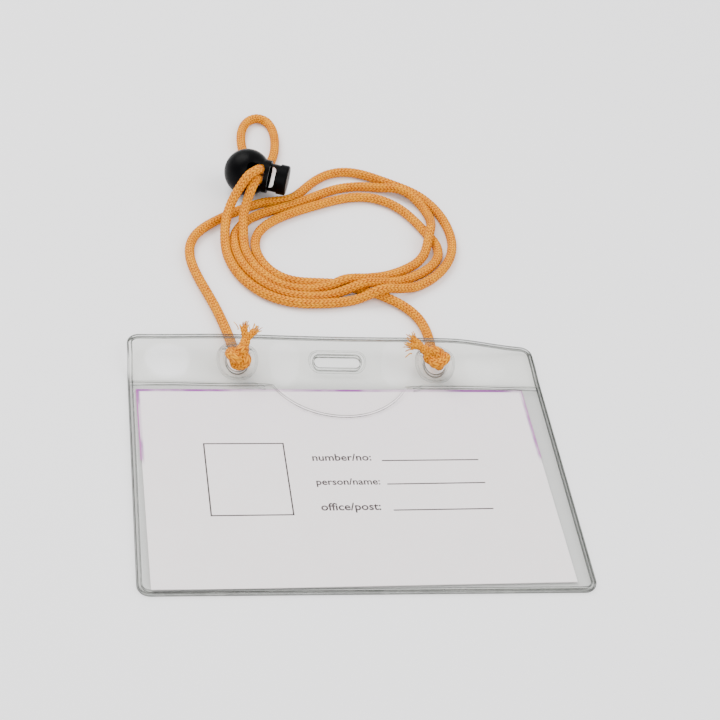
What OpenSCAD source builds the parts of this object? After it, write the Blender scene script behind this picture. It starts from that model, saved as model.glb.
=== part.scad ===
/* [Holder] */
// Width of the holder
holder_w = 137; // [125:1:165]
// Height of the holder, from its bottom edge to its top edge
holder_h = 106; // [98:1:130]
// Radius of the holder's corners
corner_r = 4; // [2:0.5:8]
// Thickness of one vinyl ply
ply_t = 0.3; // [0.2:0.05:0.4]
// Gap between the back ply and the front plies
pocket_gap = 0.7; // [0.65:0.05:1]
// Width of the welded seam along the edge
edge_weld_w = 1.6; // [1.2:0.1:2.5]
// Height that a weld stands above the front ply
weld_proud = 0.15; // [0.05:0.05:0.3]

/* [Header] */
// Height of the header, from the slit to the top edge
header_h = 20; // [18:0.5:26]
// Width of the slit between the header and the pocket panel
slit_w = 0.8; // [0.4:0.1:1.5]
// Height to which the cord below it lifts the header
header_rise = 4; // [3.8:0.1:6]
// Flat length between the slit and the header's bend
bend_start = 3; // [3:0.25:5]
// Length over which the header rises
bend_run = 9; // [7:0.5:12]
// Width of the thumb tongue where it meets the slit
tongue_w = 45; // [30:1:60]
// Depth of the thumb tongue below the slit
tongue_depth = 14; // [8:0.5:20]

/* [Slot and eyelets] */
// Distance from the top edge to the centres of the slot and the eyelets
punch_drop = 11; // [9:0.5:12]
// Length of the clip slot
slot_l = 15.5; // [12:0.5:20]
// Width of the clip slot
slot_wide = 3.8; // [3:0.1:5]
// Width of the weld round the clip slot
slot_weld_w = 1.9; // [1.2:0.1:3]
// Distance between the centres of the eyelets
eyelet_pitch = 66; // [50:1:90]
// Diameter of an eyelet's hole
eyelet_hole_d = 7; // [7:0.1:8.5]
// Width of the weld round an eyelet's hole
eyelet_weld_w = 3.3; // [2:0.1:4]

/* [Insert] */
// Width of the insert card
card_w = 127; // [80:1:150]
// Height of the insert card
card_h = 82; // [60:1:98]
// Thickness of the insert card
card_t = 0.3; // [0.2:0.05:0.4]
// Angle at which the card lies askew
card_tilt = 0.9; // [0:0.1:1.2]
// Distance of the card's centre left of the holder's
card_left = 1.5; // [0:0.1:2]
// Gap between the card's lowest corner and the seam below it
card_seat = 0.2; // [0.1:0.1:1]
// Height of the backing slip
slip_h = 31; // [15:1:55]
// Thickness of the backing slip
slip_t = 0.15; // [0.1:0.05:0.2]
// Width by which the slip shows past the card
slip_peek = 0.4; // [0:0.1:0.6]

/* [Cord] */
// Diameter of the cord
cord_d = 3.5; // [3:0.1:3.6]
// Height of the coil of cord
coil_h = 5.2; // [4:0.1:7]
// Diameter of a stopper knot
knot_d = 8.8; // [8:0.1:9.5]
// Height of a stopper knot's centre above the underside of the header at its eyelet
knot_seat = 4.53; // [4.3:0.01:5]
// Diameter of a frayed cord end
tail_d = 4; // [3:0.1:5]
// Gap between the two strands inside the lock
strand_gap = 0.06; // [0.02:0.02:0.2]

/* [Cord lock] */
// Diameter of the lock's ball
ball_d = 17; // [16:0.5:20]
// Diameter of the plunger's shaft
shaft_d = 10.1; // [9.6:0.1:10.6]
// Running clearance round the shaft
shaft_clear = 0.08; // [0.05:0.01:0.1]
// Distance from the ball's centre to the end of its collar
collar_end = 8.2; // [7.8:0.1:9]
// Wall of the collar
collar_wall = 0.9; // [0.7:0.1:1.5]
// Distance from the ball's centre to the bore's floor
bore_floor = 5.8; // [5:0.1:6.2]
// Distance that the plunger can be pressed
press_travel = 3.4; // [2:0.1:3.4]
// Gap left between the head and the collar when it is pressed
press_spare = 0.2; // [0.1:0.1:0.5]
// Diameter of the plunger's head
head_d = 11; // [10.6:0.1:12]
// Length of the plunger's head
head_l = 3.2; // [2:0.1:5]
// Radius of the edges of the plunger's head
head_round = 0.7; // [0.3:0.1:1.2]
// Length of the cord hole through the ball
hole_l = 6.1; // [5.5:0.1:6.2]
// Width of the cord hole and of the plunger's window
hole_w = 7.6; // [7.4:0.1:7.8]
// Gap between the cord and what clamps it
clamp_gap = 0.15; // [0.05:0.05:0.3]
// Diameter of the spring over its wire
spring_d = 4.6; // [4:0.1:5]
// Diameter of the spring's wire
wire_d = 0.6; // [0.4:0.1:0.7]
// Depth of the spring's pocket in the plunger
pocket_deep = 2.6; // [2:0.1:3]
// Clearance round the spring
spring_clear = 0.3; // [0.2:0.05:0.5]

/* [Hidden] */

$fn = 64;
eps = 0.01;
stack_t = 2 * ply_t + pocket_gap;
top_y = holder_h / 2;
slit_y = top_y - header_h;
punch_y = top_y - punch_drop;
inner_w = holder_w - 2 * edge_weld_w;
inner_h = holder_h - 2 * edge_weld_w;
eyelet_x = eyelet_pitch / 2;
eyelet_weld_d = eyelet_hole_d + 2 * eyelet_weld_w;
tongue_r = (pow(tongue_w / 2, 2) + pow(tongue_depth, 2)) / (2 * tongue_depth);
tongue_y = slit_y - tongue_depth + tongue_r;

// The slip and the card share the gap between the plies evenly.
insert_gap = (pocket_gap - card_t - slip_t) / 2;
slip_z = ply_t + insert_gap;
card_z = slip_z + slip_t;
card_y = edge_weld_w - holder_h / 2 + card_seat
    + card_w / 2 * sin(card_tilt) + card_h / 2 * cos(card_tilt);
card_top = card_y + card_w / 2 * sin(card_tilt) + card_h / 2 * cos(card_tilt);

// The header bends above the slit and above the card, which reaches under it if it's tall.
bend_y0 = max(slit_y, card_top) + bend_start;
bend_y1 = bend_y0 + bend_run;
punch_z = header_rise * max(0, min(1, (punch_y - bend_y0) / bend_run));
knot_z = punch_z + knot_seat;

// The lock lies on its ball, with its plunger along local +X and its cord hole along local Y.
lock_at = [-22.5, 137.3, ball_d / 2];
lock_yaw = -17.5;
lock_roll = -37;
bore_d = shaft_d + 2 * shaft_clear;
collar_d = bore_d + 2 * collar_wall;
strand_x = 4.8;
strand_z = (cord_d + strand_gap) / 2;
hole_end = strand_x + cord_d / 2 + clamp_gap / 3;
window_start = strand_x - cord_d / 2 - clamp_gap;
head_x = collar_end + press_travel + press_spare;
window_end = head_x - 1.2;
shaft_start = -1.3;
pocket_floor = shaft_start + pocket_deep;
spring_turns = 4.5;

// Cord routes, as points on the cord's centre line.
LEFT_LEG = [[-33, 42, 6.4], [-33, 42.6, 4.6], [-33.1, 44.3, 2.7], [-33.4, 47.6, 1.9],
    [-34.1, 53, 1.8], [-36, 62, 1.8], [-38.5, 71.5, 1.8], [-41.5, 80.5, 1.8],
    [-44, 88.5, 1.8], [-45.5, 96, 1.8], [-45.3, 102.5, 1.8], [-43, 108.5, 1.8],
    [-39, 113.5, 1.8], [-34, 117.5, 1.8], [-28, 122, 1.8], [-21.5, 126, 1.8],
    [-15, 128.7, 1.8], [-11, 129.3, 1.8], [-7.6, 129.8, 1.8], [-4.8, 131.8, 1.8],
    [-2.1, 135.4, 1.8], [1, 139.5, 1.8], [5, 144, 1.8]];
RIGHT_LEG = [[33, 42, 6.4], [33, 42.6, 4.6], [33.1, 44.3, 2.7], [33.4, 47.6, 1.9],
    [33.7, 54, 1.8], [33.4, 61, 1.8], [31.6, 67.5, 1.8], [28, 72.6, 1.8], [23.5, 76.3, 1.8]];
// From the coil up to the lock, and from the lock to its loop, for the upper and the lower strand.
UPPER_IN = [[-32.6, 107.5, 4.2], [-32, 113, 6], [-30.6, 118, 8], [-28.8, 121.3, 10.3],
    [-26.6, 123.6, 13.3], [-24.4, 124.4, 15.9], [-22.4, 125.4, 17.1], [-20.9, 127.2, 16.9]];
LOOP = [[-16.4, 144.4, 5.3], [-18.3, 148, 4.2], [-20.8, 153.5, 2.8], [-22.2, 160, 2],
    [-22.3, 167, 1.8], [-21, 174.5, 1.8], [-18, 180.3, 1.8], [-14, 182.3, 1.8],
    [-10.6, 179.5, 1.8], [-9, 172, 1.8], [-9.2, 164, 1.8], [-10.6, 156, 1.8],
    [-13, 150, 1.8], [-15, 145.2, 1.9], [-16, 142.2, 2.2]];
LOWER_IN = [[-21.4, 125.3, 13.6], [-22.6, 123, 12.5], [-24, 120.4, 10.4], [-25.2, 117.2, 8],
    [-26, 113.4, 5.7], [-26.4, 108.5, 3.9]];
// Outlines of the coil, clockwise.
COIL_OUTSIDE = [[-34.5, 110], [-30, 117.5], [-21, 122], [-12, 126], [-4, 130], [1, 136.5],
    [6, 144.5], [13, 150.6], [21, 150.2], [31, 145.4], [40, 140.6], [47.5, 132.6],
    [51.6, 123], [52.5, 112], [50.8, 101], [46, 91.6], [38, 84], [28, 78.6], [16, 74.6],
    [3, 71.8], [-9, 71.2], [-20, 74.6], [-28, 82], [-33, 91.6], [-34.8, 101]];
COIL_INSIDE = [[-20, 104], [-17.6, 111], [-11.6, 117], [-3, 122], [6, 126.6], [15, 131],
    [24, 131.6], [31, 127], [36, 119.6], [39, 111], [37.4, 102], [31, 95], [21, 90.4],
    [9, 87.6], [-3, 86.2], [-12, 87], [-18, 93.4]];

function unit(v) = v / norm(v);
function tangent(p, i) = unit(p[min(i + 1, len(p) - 1)] - p[max(i - 1, 0)]);
// Sideways direction at each point, carried along the route without twist.
function carried(p, n, i = 0) =
    let (t = tangent(p, i), m = unit(n - t * (n * t)))
    i == len(p) - 1 ? [m] : concat([m], carried(p, m, i + 1));
// Point at a share s of the way from b to c, on the curve with a before b and d after c.
function between(a, b, c, d, s) =
    0.5 * (2 * b + (c - a) * s + (2 * a - 5 * b + 4 * c - d) * s * s
    + (3 * b - 3 * c + d - a) * s * s * s);
function closed_curve(p, steps) =
    [for (i = [0 : len(p) - 1], k = [0 : steps - 1])
        between(p[(i + len(p) - 1) % len(p)], p[i], p[(i + 1) % len(p)],
            p[(i + 2) % len(p)], k / steps)];
function spring_point(a, r, length, turns) =
    [length * a / (360 * turns), r * cos(a), r * sin(a)];
// Place in the holder's frame of a point given in the lock's own frame.
function from_lock(p) =
    let (y = p[1] * cos(lock_roll) - p[2] * sin(lock_roll),
         z = p[1] * sin(lock_roll) + p[2] * cos(lock_roll))
    lock_at + [p[0] * cos(lock_yaw) - y * sin(lock_yaw),
        p[0] * sin(lock_yaw) + y * cos(lock_yaw), z];

// Tube of the given diameter through the points, as one closed solid.
module tube(points, d, start_side, sides = 8) {
    side = carried(points, start_side);
    last = len(points) - 1;
    rings = [for (i = [0 : last])
        let (t = tangent(points, i), n = side[i], b = cross(t, n))
        for (k = [0 : sides - 1])
            points[i] + d / 2 * (n * cos(360 * k / sides) + b * sin(360 * k / sides))];
    walls = [for (i = [0 : last - 1], k = [0 : sides - 1])
        let (a = i * sides + k, b = i * sides + (k + 1) % sides)
        each [[a, a + sides, b], [b, a + sides, b + sides]]];
    ends = [[for (k = [0 : sides - 1]) k],
        [for (k = [sides - 1 : -1 : 0]) last * sides + k]];
    polyhedron(rings, concat(walls, ends), convexity = 10);
}

module rounded_rect(w, h, r) {
    square([w - 2 * r, h], center = true);
    square([w, h - 2 * r], center = true);
    for (x = [-1, 1], y = [-1, 1])
        translate([x * (w / 2 - r), y * (h / 2 - r)]) circle(r);
}

module stadium(l, w) {
    square([l - w, w], center = true);
    for (x = [-1, 1])
        translate([x * (l - w) / 2, 0]) circle(d = w);
}

// Slab that lies flat under the pocket and steps up under the header.
module bent_slab(low, high) {
    reach = holder_h / 2 + 1;
    rotate([90, 0, 90])
        linear_extrude(holder_w + 2, center = true)
            polygon([[-reach, low], [bend_y0, low], [bend_y1, low + header_rise],
                [reach, low + header_rise], [reach, high + header_rise],
                [bend_y1, high + header_rise], [bend_y0, high], [-reach, high]]);
}

// The children's plan outline, cut out of the bent slab between two heights.
module ply(low, high) {
    intersection() {
        bent_slab(low, high);
        translate([0, 0, -1])
            linear_extrude(header_rise + stack_t + 3) children();
    }
}

module inner_plan() {
    rounded_rect(inner_w, inner_h, corner_r - edge_weld_w / 2);
}

module weld_spots() {
    for (x = [-eyelet_x, eyelet_x])
        translate([x, punch_y]) circle(d = eyelet_weld_d);
    translate([0, punch_y])
        stadium(slot_l + 2 * slot_weld_w, slot_wide + 2 * slot_weld_w);
}

module back_sheet() {
    color("#dfe3e0", 0.4)
        ply(0, ply_t)
            difference() {
                inner_plan();
                weld_spots();
            }
}

module header_sheet() {
    color("#e6eae7", 0.4)
        ply(ply_t + pocket_gap, stack_t)
            difference() {
                intersection() {
                    inner_plan();
                    union() {
                        translate([-holder_w / 2, slit_y + slit_w / 2])
                            square([holder_w, header_h]);
                        intersection() {
                            translate([0, tongue_y]) circle(tongue_r - slit_w / 2);
                            translate([-tongue_w / 2, slit_y - tongue_depth])
                                square([tongue_w, tongue_depth + slit_w]);
                        }
                    }
                }
                weld_spots();
            }
}

module pocket_sheet() {
    color("#e6eae7", 0.4)
        ply(ply_t + pocket_gap, stack_t)
            difference() {
                intersection() {
                    inner_plan();
                    translate([-holder_w / 2, -holder_h / 2])
                        square([holder_w, holder_h / 2 + slit_y - slit_w / 2]);
                }
                translate([0, tongue_y]) circle(tongue_r + slit_w / 2);
            }
}

module edge_weld() {
    color("#c9cfcb", 0.6)
        ply(0, stack_t + weld_proud)
            difference() {
                rounded_rect(holder_w, holder_h, corner_r);
                inner_plan();
            }
}

module eyelet_weld(x) {
    color("#c9cfcb", 0.6)
        ply(0, stack_t + weld_proud)
            translate([x, punch_y])
                difference() {
                    circle(d = eyelet_weld_d);
                    circle(d = eyelet_hole_d);
                }
}

module slot_weld() {
    color("#c9cfcb", 0.6)
        ply(0, stack_t + weld_proud)
            translate([0, punch_y])
                difference() {
                    stadium(slot_l + 2 * slot_weld_w, slot_wide + 2 * slot_weld_w);
                    stadium(slot_l, slot_wide);
                }
}

module insert_card() {
    color("#f6f1ee")
        translate([-card_left, card_y, card_z])
            rotate([0, 0, card_tilt])
                translate([-card_w / 2, -card_h / 2, 0])
                    cube([card_w, card_h, card_t]);
}

module backing_slip() {
    color("#e9c3df")
        translate([-card_left, card_y, slip_z])
            rotate([0, 0, card_tilt])
                translate([-card_w / 2 - slip_peek, card_h / 2 + slip_peek - slip_h, 0])
                    cube([card_w + 2 * slip_peek, slip_h, slip_t]);
}

module cord_coil() {
    color("#f79a0c")
        linear_extrude(coil_h)
            difference() {
                polygon(closed_curve(COIL_OUTSIDE, 3));
                polygon(closed_curve(COIL_INSIDE, 3));
            }
}

module cord_left_leg() {
    color("#f79a0c") tube(LEFT_LEG, cord_d, [1, 0, 0]);
}

module cord_right_leg() {
    color("#f79a0c") tube(RIGHT_LEG, cord_d, [1, 0, 0]);
}

module cord_lock_loop() {
    upper = [for (y = [-10, -6, 0, 6]) from_lock([strand_x, y, strand_z])];
    lower = [for (y = [6, 0, -6, -10]) from_lock([strand_x, y, -strand_z])];
    color("#f79a0c")
        tube(concat(UPPER_IN, upper, LOOP, lower, LOWER_IN), cord_d, [1, 0, 0]);
}

// Overhand knot: a round heart with one turn of cord round it.
module knot(x, y, z, turn) {
    color("#f79a0c")
        translate([x, y, z]) {
            sphere(d = knot_d - 0.6);
            rotate([62, 0, turn])
                rotate_extrude()
                    translate([(knot_d - cord_d) / 2, 0]) circle(d = cord_d);
        }
}

// Frayed cord end that leaves a knot: a cone from one point to another.
module tail(from, to) {
    along = to - from;
    color("#ffb636")
        translate(from)
            rotate([0, acos(along[2] / norm(along)), atan2(along[1], along[0])])
                cylinder(h = norm(along), d1 = cord_d - 0.3, d2 = tail_d);
}

module left_knot() { knot(-eyelet_x, punch_y - 2, knot_z, 25); }

module right_knot() { knot(eyelet_x, punch_y - 1.2, knot_z, -20); }

module left_tail() {
    tail([2 - eyelet_x, punch_y, knot_z + 1.8], [4 - eyelet_x, punch_y + 6, knot_z + 4.2]);
}

module right_tail() {
    tail([eyelet_x - 2.4, punch_y, knot_z + 1], [eyelet_x - 8, punch_y + 3.4, knot_z + 2.8]);
}

module at_lock() {
    translate(lock_at) rotate([0, 0, lock_yaw]) rotate([lock_roll, 0, 0]) children();
}

// Cylinder along local +X, from one distance to another.
module rod(d, from, to) {
    translate([from, 0, 0]) rotate([0, 90, 0]) cylinder(h = to - from, d = d);
}

// Half section of the ball with its collar and its blind bore, with the axis along local +Y.
module ball_section() {
    difference() {
        union() {
            intersection() {
                circle(d = ball_d);
                translate([0, -ball_d]) square([ball_d, 2 * ball_d]);
            }
            square([collar_d / 2, collar_end]);
        }
        translate([-1, -bore_floor]) square([bore_d / 2 + 1, ball_d + collar_end]);
    }
}

module lock_body() {
    color("#111113")
        at_lock()
            difference() {
                rotate([0, 90, 0]) rotate_extrude() ball_section();
                translate([hole_end - hole_l / 2, 0, 0])
                    rotate([90, 0, 0])
                        linear_extrude(ball_d + 1, center = true)
                            rounded_rect(hole_l, hole_w, 1.5);
            }
}

module lock_plunger() {
    end_x = head_x + head_l;
    color("#17171a")
        at_lock()
            difference() {
                union() {
                    rod(shaft_d, shaft_start, head_x + eps);
                    rod(head_d, head_x, end_x - head_round);
                    rod(head_d - 2 * head_round, head_x, end_x);
                    translate([end_x - head_round, 0, 0])
                        rotate([0, 90, 0])
                            rotate_extrude()
                                translate([head_d / 2 - head_round, 0]) circle(head_round);
                }
                translate([(window_start + window_end) / 2, 0, 0])
                    rotate([90, 0, 0])
                        linear_extrude(head_d + 1, center = true)
                            rounded_rect(window_end - window_start, hole_w, 1.5);
                rod(spring_d + 2 * spring_clear, shaft_start - 1, pocket_floor);
            }
}

module lock_spring() {
    length = pocket_floor + bore_floor - wire_d - 2 * eps;
    steps = 12 * spring_turns;
    points = [for (k = [0 : steps])
        spring_point(360 * spring_turns * k / steps, (spring_d - wire_d) / 2, length, spring_turns)];
    color("#b9bcc0")
        at_lock()
            translate([wire_d / 2 + eps - bore_floor, 0, 0])
                tube(points, wire_d, [0, 1, 0], 6);
}

back_sheet();
header_sheet();
pocket_sheet();
edge_weld();
eyelet_weld(-eyelet_x);  // left_eyelet_weld
eyelet_weld(eyelet_x);  // right_eyelet_weld
slot_weld();
insert_card();
backing_slip();
cord_coil();
cord_left_leg();
cord_right_leg();
cord_lock_loop();
left_knot();
right_knot();
left_tail();
right_tail();
lock_body();
lock_plunger();
lock_spring();
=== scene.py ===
"""Lanyard badge holder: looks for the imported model, laid out as a Blender add-on."""

import math

import bmesh
import bpy
import numpy as np
from mathutils import Matrix, Vector
from mathutils.geometry import delaunay_2d_cdt


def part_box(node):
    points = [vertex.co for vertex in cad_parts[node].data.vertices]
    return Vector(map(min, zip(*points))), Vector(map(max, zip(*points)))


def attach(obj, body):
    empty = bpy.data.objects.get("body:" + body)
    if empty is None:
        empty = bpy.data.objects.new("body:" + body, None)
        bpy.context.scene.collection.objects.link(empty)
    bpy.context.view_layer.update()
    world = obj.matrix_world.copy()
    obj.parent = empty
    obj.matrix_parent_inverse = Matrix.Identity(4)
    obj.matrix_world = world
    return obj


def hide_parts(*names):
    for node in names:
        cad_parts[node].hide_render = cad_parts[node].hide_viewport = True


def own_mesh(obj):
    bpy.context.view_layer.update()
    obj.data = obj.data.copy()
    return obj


bl_info = {
    "name": "Lanyard badge holder",
    "version": (1, 0, 0),
    "blender": (4, 5, 0),
    "location": "3D View > Sidebar > Badge holder",
    "description": "Makes a clear vinyl badge holder with its card, neck cord and cord lock",
    "category": "Object",
}

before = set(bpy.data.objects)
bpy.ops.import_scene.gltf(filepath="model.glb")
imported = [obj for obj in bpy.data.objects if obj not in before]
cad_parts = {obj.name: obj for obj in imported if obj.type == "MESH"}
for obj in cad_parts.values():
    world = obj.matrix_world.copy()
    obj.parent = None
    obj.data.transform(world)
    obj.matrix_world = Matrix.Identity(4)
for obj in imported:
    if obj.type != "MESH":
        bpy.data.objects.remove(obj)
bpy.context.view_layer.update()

MM = 0.001
HOLDER, INSERT = "holder", "insert"


def size_of(node):
    """A node's lowest and highest corners at rest, in millimetres."""
    low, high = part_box(node)
    return np.array(low) / MM, np.array(high) / MM


# Places that come from the frame, in millimetres.
EDGE_HIGH = size_of("edge_weld")[1]
HALF_W, HALF_H = EDGE_HIGH[0], EDGE_HIGH[1]
SLOT_LOW, SLOT_HIGH = size_of("slot_weld")
SLOT_HALF = (SLOT_HIGH - SLOT_LOW) / 2
PUNCH_Y = (SLOT_LOW[1] + SLOT_HIGH[1]) / 2
EYE_LOW, EYE_HIGH = size_of("right_eyelet_weld")
EYELET_X = (EYE_LOW[0] + EYE_HIGH[0]) / 2
EYELET_R = (EYE_HIGH[0] - EYE_LOW[0]) / 2
POCKET_HIGH = size_of("pocket_sheet")[1]
CARD_LOW, CARD_HIGH = size_of("insert_card")
CARD_MID = ((CARD_LOW[0] + CARD_HIGH[0]) / 2, (CARD_LOW[1] + CARD_HIGH[1]) / 2)
SLIT_HALF = 0.4
SLIT_Y = POCKET_HIGH[1] + SLIT_HALF
SEAM_W = HALF_W - POCKET_HIGH[0]
STACK = POCKET_HIGH[2]
WELD_PROUD = 0.15
RISE = EDGE_HIGH[2] - STACK - WELD_PROUD

# Sizes that the frame's boxes don't give, in millimetres, and the card's turn in its pocket.
CORNER_R = 4.0
EYELET_HOLE_R = 3.5
SLOT_WELD_W = 1.9
TONGUE_Y, TONGUE_R = 43.8, 24.8  # height of the centre of the thumb tongue's arc, and its radius
CARD_TILT = math.radians(0.9)

# The cord's routes past the coil, repeated from the part's source, in millimetres.
LEFT_LEG = [
    (-33, 42, 6.4), (-33, 42.6, 4.6), (-33.1, 44.3, 2.7), (-33.4, 47.6, 1.9),
    (-34.1, 53, 1.8), (-36, 62, 1.8), (-38.5, 71.5, 1.8), (-41.5, 80.5, 1.8),
    (-44, 88.5, 1.8), (-45.5, 96, 1.8), (-45.3, 102.5, 1.8), (-43, 108.5, 1.8),
    (-39, 113.5, 1.8), (-34, 117.5, 1.8), (-28, 122, 1.8), (-21.5, 126, 1.8),
    (-15, 128.7, 1.8), (-11, 129.3, 1.8), (-7.6, 129.8, 1.8), (-4.8, 131.8, 1.8),
    (-2.1, 135.4, 1.8), (1, 139.5, 1.8), (5, 144, 1.8),
]
RIGHT_LEG = [
    (33, 42, 6.4), (33, 42.6, 4.6), (33.1, 44.3, 2.7), (33.4, 47.6, 1.9),
    (33.7, 54, 1.8), (33.4, 61, 1.8), (31.6, 67.5, 1.8), (28, 72.6, 1.8), (23.5, 76.3, 1.8),
]
UPPER_IN = [
    (-32.6, 107.5, 4.2), (-32, 113, 6), (-30.6, 118, 8), (-28.8, 121.3, 10.3),
    (-26.6, 123.6, 13.3), (-24.4, 124.4, 15.9), (-22.4, 125.4, 17.1), (-20.9, 127.2, 16.9),
]
LOOP = [
    (-16.4, 144.4, 5.3), (-18.3, 148, 4.2), (-20.8, 153.5, 2.8), (-22.2, 160, 2),
    (-22.3, 167, 1.8), (-21, 174.5, 1.8), (-18, 180.3, 1.8), (-14, 182.3, 1.8),
    (-10.6, 179.5, 1.8), (-9, 172, 1.8), (-9.2, 164, 1.8), (-10.6, 156, 1.8),
    (-13, 150, 1.8), (-15, 145.2, 1.9), (-16, 142.2, 2.2),
]
LOWER_IN = [
    (-21.4, 125.3, 13.6), (-22.6, 123, 12.5), (-24, 120.4, 10.4), (-25.2, 117.2, 8),
    (-26, 113.4, 5.7), (-26.4, 108.5, 3.9),
]
# The coil's turns: the outer one comes from the left leg, the other two from the right leg.
OUTER_TURN = [
    (9.5, 147.3, 1.8), (15, 149, 1.8), (21, 148.2, 1.8), (27, 145.3, 1.8), (33, 141.8, 1.8),
    (38.5, 138.6, 1.8), (43.5, 134, 1.8), (47.3, 128, 1.8), (49.6, 121, 1.8), (50.6, 114, 1.8),
    (50.5, 107, 1.8), (48.6, 100, 1.8), (45, 93.5, 1.8), (39.8, 87.6, 1.8), (34, 83.4, 2.2),
    (28, 80.6, 4), (22, 78.6, 5.3), (16, 76.9, 4), (9.5, 75, 2.2), (3, 73.6, 1.8),
    (-4, 73, 1.8), (-11, 73.2, 1.8), (-17.6, 75.3, 1.8), (-23.4, 79.6, 1.8), (-28, 85.6, 1.8),
    (-31, 92.5, 1.8), (-32.5, 100, 2.4),
]
INNER_TURN = [
    (17, 79.7, 1.8), (10.5, 82.2, 1.8), (3.5, 83.9, 1.8), (-3.5, 84.2, 1.8), (-9.8, 84.2, 1.8),
    (-15, 86.6, 1.8), (-18.9, 91.2, 1.8), (-21.4, 97, 1.8), (-22.3, 103.2, 1.8),
    (-21.2, 109.3, 1.8), (-18.2, 114.2, 1.8), (-13.4, 118.6, 1.8), (-8, 122.2, 1.8),
    (-2, 125.4, 1.8), (4, 128.4, 1.8), (10, 131.2, 1.8), (16, 133.3, 1.8), (22, 134, 1.8),
    (27.8, 132.4, 1.8), (32.6, 129, 1.8), (36.4, 124.2, 1.8), (39.2, 118.8, 1.8),
    (41.8, 113, 1.8), (44.6, 107.2, 1.8), (44.9, 101.5, 1.8), (42, 95.8, 1.8), (37, 91, 1.8),
    (31, 87.4, 1.8), (25.5, 85, 2.8), (20, 83, 4.6), (14, 80.9, 5.3), (8, 78.9, 4.4),
    (2, 77.3, 2.6), (-4, 76.7, 1.8), (-10.8, 76.9, 1.8), (-16.2, 79, 1.8), (-21, 83, 1.8),
    (-25, 88.3, 1.8), (-27.8, 94.4, 1.8), (-29.2, 101, 1.8), (-29, 107.6, 1.8),
]
MIDDLE_TURN = [
    (-27, 113.4, 1.8), (-23.5, 118, 1.8), (-18.8, 121.6, 1.8), (-13, 124.4, 1.8),
    (-7, 127, 1.8), (-1, 130.6, 1.8), (5, 134.6, 1.8), (11, 138, 1.8), (17, 139.8, 1.8),
    (23.5, 140.2, 1.8), (29.5, 139.4, 2.6), (34, 138.2, 4.5), (38.5, 135.5, 4.2),
    (42.2, 130.5, 2.6), (44.2, 124, 2.6), (44, 118, 4.4), (42.6, 112.3, 5.3), (41, 106.6, 4.4),
    (39.3, 101, 2.6), (36, 96.4, 1.8), (31.3, 92.7, 1.8), (25.8, 89.8, 2.2), (20, 87.2, 3.2),
    (14.5, 85.1, 4.3), (9.5, 83.3, 4.7), (4.5, 81.8, 4.2), (-1, 80.7, 3.0), (-7, 80.4, 2.0),
    (-13, 81.4, 1.8), (-18, 84.8, 1.8), (-22, 90, 1.8), (-24.7, 96, 1.8), (-26, 102.5, 2.2),
]

# The braid: columns of V stitches round the cord, and how far a V leans, in stitches.
COLUMNS = 6
SLANT = 0.8

# Patches where the header's plies cling: middle, half width and half height, in millimetres,
# and how strongly they show.
PATCHES = ((-55.5, 42.5, 7.8, 5.6, 1.0), (-17.5, 42.0, 5.0, 7.8, 0.45),
           (20.0, 42.5, 5.0, 8.0, 0.4), (50.0, 41.0, 7.0, 5.0, 0.3))

# The cord lock's own frame: X along the plunger, Y along the cord hole, in millimetres.
LOCK_AT = np.array([-22.5, 137.3, 8.5])
LOCK_YAW = math.radians(-17.5)
LOCK_ROLL = math.radians(-37)
LOCK_TURN = np.array(Matrix.Rotation(LOCK_YAW, 3, "Z") @ Matrix.Rotation(LOCK_ROLL, 3, "X"))
STRAND_X = 4.8
STRAND_Z = 1.78
BORE_FLOOR = -5.8
LOCK_REACH = 13.5  # how far from its middle the lock holds the cord

# The eyelets hold the cord up to this Y, in millimetres.
HELD_Y = 50


class HolderSizes(bpy.types.PropertyGroup):
    """Sizes of the vinyl and the card's printing."""

    ply: bpy.props.FloatProperty(
        name="Ply", description="Thickness of one vinyl ply, in millimetres", default=0.3
    )
    bulge: bpy.props.FloatProperty(
        name="Bulge", description="Height that the pocket panel bows up, in millimetres", default=0.55
    )
    droop: bpy.props.FloatProperty(
        name="Droop", description="Share of the header's rise lost at its right corner", default=0.8
    )
    ink: bpy.props.FloatProperty(
        name="Ink", description="Width of a printed line, in millimetres", default=0.46
    )
    vinyl_tint: bpy.props.FloatVectorProperty(
        name="Vinyl", description="Colour that one vinyl ply lets through", subtype="COLOR",
        size=4, default=(0.944, 0.946, 0.936, 1), min=0, max=1
    )
    card_colour: bpy.props.FloatVectorProperty(
        name="Card", description="Colour of the card's paper", subtype="COLOR",
        size=4, default=(0.975, 0.905, 0.92, 1), min=0, max=1
    )


class CordSizes(bpy.types.PropertyGroup):
    """Sizes and colours of the cord and the lock."""

    diameter: bpy.props.FloatProperty(
        name="Cord", description="Diameter of the cord, in millimetres", default=3.5
    )
    stitch: bpy.props.FloatProperty(
        name="Stitch", description="Length of one stitch, in millimetres", default=1.45
    )
    relief: bpy.props.FloatProperty(
        name="Relief", description="Depth of the grooves between stitches, in millimetres",
        default=0.26
    )
    # Painted highlight: the colour given to the yarn's proud tops, lighter than the rest of the yarn.
    proud_yarn_highlight: bpy.props.FloatVectorProperty(
        name="Yarn", description="Colour of the yarn where it stands proud", subtype="COLOR",
        size=4, default=(1.0, 0.375, 0.0, 1), min=0, max=1
    )
    # Painted shade: the colour given to the yarn down in the grooves; the loose yarns use it too.
    groove_shade: bpy.props.FloatVectorProperty(
        name="Groove", description="Colour of the yarn in the grooves", subtype="COLOR",
        size=4, default=(0.30, 0.036, 0.0, 1), min=0, max=1
    )
    plastic: bpy.props.FloatVectorProperty(
        name="Lock", description="Colour of the lock's plastic", subtype="COLOR",
        size=4, default=(0.001, 0.001, 0.0013, 1), min=0, max=1
    )


def sizes():
    """The vinyl's and the card's settings."""
    return bpy.context.scene.badge_holder


def cord_sizes():
    """The cord's and the lock's settings."""
    return bpy.context.scene.badge_cord


# ---- Meshes -------------------------------------------------------------------------------


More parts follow.
